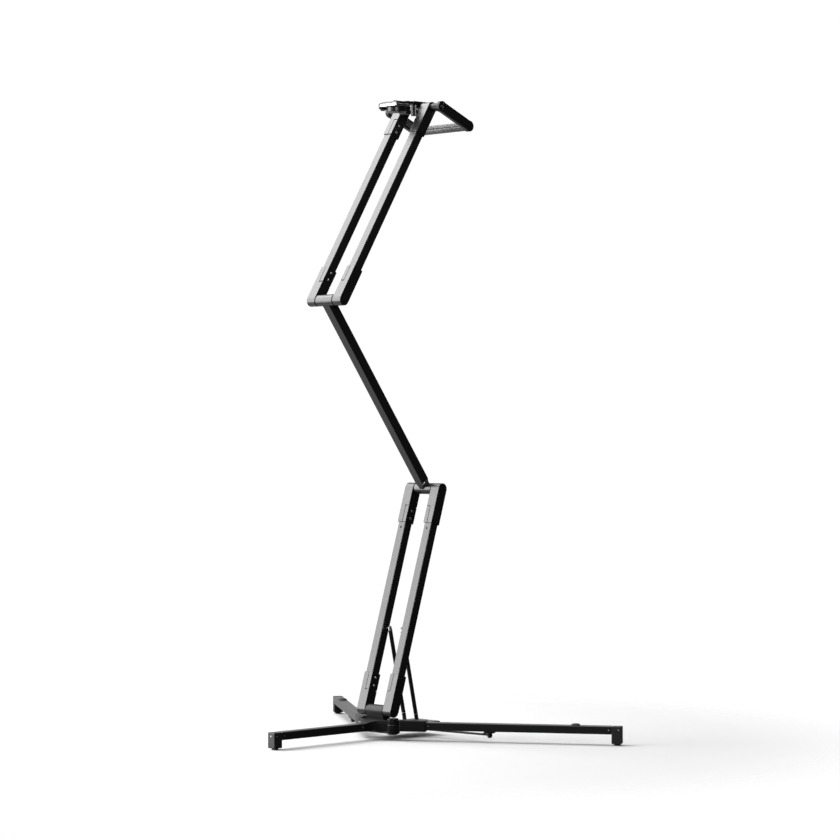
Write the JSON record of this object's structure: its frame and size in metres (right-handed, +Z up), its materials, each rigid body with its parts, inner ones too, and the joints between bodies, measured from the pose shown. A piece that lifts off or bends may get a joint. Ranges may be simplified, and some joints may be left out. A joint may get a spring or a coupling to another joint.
{
  "type": "folding camera stand",
  "caption": "Folding Z-arm camera stand: three-leg base, paired square-tube arms with a single middle arm, tilting quick-release head and a U-shaped grip handle.",
  "frame": {"origin": "middle of the stand's footprint at floor level", "axes": "+Z up, -X towards the front foot, +Y to the left side; the arms swing in the XZ plane"},
  "size_m": [0.6031, 0.9146, 1.3903],
  "materials": {
    "black_anodised": "satin black anodised",
    "black_cast": "black painted casting",
    "rubber": "matte moulded",
    "nylon": "moulded black nylon",
    "bright_steel": "bright turned and plated",
    "dark_steel": "black oxide",
    "knurled_grip": "knurled dark grey"
  },
  "bodies": {
    "base": {"base_hub": "black_cast", "front_leg_tube": "black_anodised", "front_foot": "nylon", "front_foot_pad": "rubber", "rear_rail": "black_anodised", "left_leg_bolt": "dark_steel", "right_leg_bolt": "dark_steel", "base_axle": "bright_steel", "left_strut_lug": "black_cast", "right_strut_lug": "black_cast", "left_strut_pin": "bright_steel", "right_strut_pin": "bright_steel"},
    "left_leg": {"left_leg_socket": "black_cast", "left_leg_tube": "black_anodised", "left_foot": "nylon", "left_foot_pad": "rubber", "left_bumper": "rubber", "left_stud_bracket": "dark_steel"},
    "right_leg": {"right_leg_socket": "black_cast", "right_leg_tube": "black_anodised", "right_foot": "nylon", "right_foot_pad": "rubber", "right_bumper": "rubber", "right_stud_bracket": "dark_steel"},
    "left_rod": {"left_tie_rod": "dark_steel"},
    "right_rod": {"right_tie_rod": "dark_steel"},
    "slider": {"leg_slider": "nylon"},
    "lower_arm": {"lower_left_tube": "black_anodised", "lower_right_tube": "black_anodised", "lower_left_bottom_sleeve": "black_anodised", "lower_right_bottom_sleeve": "black_anodised", "lower_left_top_sleeve": "black_anodised", "lower_right_top_sleeve": "black_anodised"},
    "struts": {"left_strut": "black_anodised", "right_strut": "black_anodised", "left_strut_clip": "bright_steel", "right_strut_clip": "bright_steel"},
    "middle_arm": {"middle_tube": "black_anodised", "lower_knee_barrel": "black_anodised", "upper_knee_barrel": "black_anodised", "lower_knee_axle": "bright_steel", "upper_knee_axle": "bright_steel"},
    "upper_arm": {"upper_left_tube": "black_anodised", "upper_right_tube": "black_anodised", "upper_left_bottom_sleeve": "black_anodised", "upper_right_bottom_sleeve": "black_anodised", "upper_left_top_sleeve": "black_anodised", "upper_right_top_sleeve": "black_anodised"},
    "head": {"head_post": "black_anodised", "head_axle": "bright_steel"},
    "pan": {"head_bracket": "black_cast", "pan_disc": "black_anodised", "clamp_body": "bright_steel", "clamp_jaw": "black_cast", "quick_release_plate": "black_anodised", "camera_screw": "bright_steel"},
    "knob": {"clamp_knob": "dark_steel"},
    "handle": {"handle_left_arm": "black_cast", "handle_right_arm": "black_cast", "grip_bar": "knurled_grip"}
  },
  "joints": [
    {"name": "right_leg_swing", "type": "hinge", "parent": "base", "child": "right_leg", "pos_m": [0.0077, -0.0431, 0.0245], "axis": [0, 0, 1], "range_deg": [0, 28]},
    {"name": "left_leg_swing", "type": "hinge", "parent": "base", "child": "left_leg", "pos_m": [0.0077, 0.0431, 0.0245], "axis": [0, 0, 1], "range_deg": [-28, 0]},
    {"name": "right_rod_turn", "type": "hinge", "parent": "right_leg", "child": "right_rod", "pos_m": [0.1297, -0.21733, 0.016], "axis": [0, 0, 1], "range_deg": [0, 17.2]},
    {"name": "left_rod_turn", "type": "hinge", "parent": "left_leg", "child": "left_rod", "pos_m": [0.1297, 0.21733, 0.016], "axis": [0, 0, 1], "range_deg": [-17.2, 0]},
    {"name": "slider_run", "type": "slide", "parent": "base", "child": "slider", "axis": [1, 0, 0], "range_m": [-0.065, 0]},
    {"name": "lower_arm_hinge", "type": "hinge", "parent": "base", "child": "lower_arm", "pos_m": [0.0035, 0, 0.0618], "axis": [0, 1, 0], "range_deg": [-20, 35]},
    {"name": "strut_hinge", "type": "hinge", "parent": "base", "child": "struts", "pos_m": [0.102, 0, 0.0368], "axis": [0, 1, 0], "range_deg": [0, 90]},
    {"name": "lower_knee", "type": "hinge", "parent": "lower_arm", "child": "middle_arm", "pos_m": [0.14885, 0, 0.54021], "axis": [0, -1, 0], "range_deg": [-50, 110]},
    {"name": "upper_knee", "type": "hinge", "parent": "middle_arm", "child": "upper_arm", "pos_m": [-0.14221, 0, 0.94676], "axis": [0, 1, 0], "range_deg": [-66, 95]},
    {"name": "head_tilt", "type": "hinge", "parent": "upper_arm", "child": "head", "pos_m": [0.11755, 0, 1.37399], "axis": [0, 1, 0], "range_deg": [-20, 40]},
    {"name": "head_pan", "type": "hinge", "parent": "head", "child": "pan", "pos_m": [0.11755, 0, 1.37399], "axis": [0, 0, 1], "range_deg": [-15, 15]},
    {"name": "clamp_knob_turn", "type": "hinge", "parent": "pan", "child": "knob", "pos_m": [0.0546, 0.0321, 1.37599], "axis": [0, 1, 0], "continuous": true},
    {"name": "handle_hinge", "type": "hinge", "parent": "upper_arm", "child": "handle", "pos_m": [0.11755, 0, 1.37399], "axis": [0, 1, 0], "range_deg": [-110, 75]}
  ],
  "couplings": [
    {"joint": "left_leg_swing", "follows": "right_leg_swing", "ratio": -1},
    {"joint": "right_rod_turn", "follows": "right_leg_swing", "ratio": 0.611},
    {"joint": "left_rod_turn", "follows": "right_leg_swing", "ratio": -0.611},
    {"joint": "slider_run", "follows": "right_leg_swing", "m_per_rad": -0.1312}
  ]
}
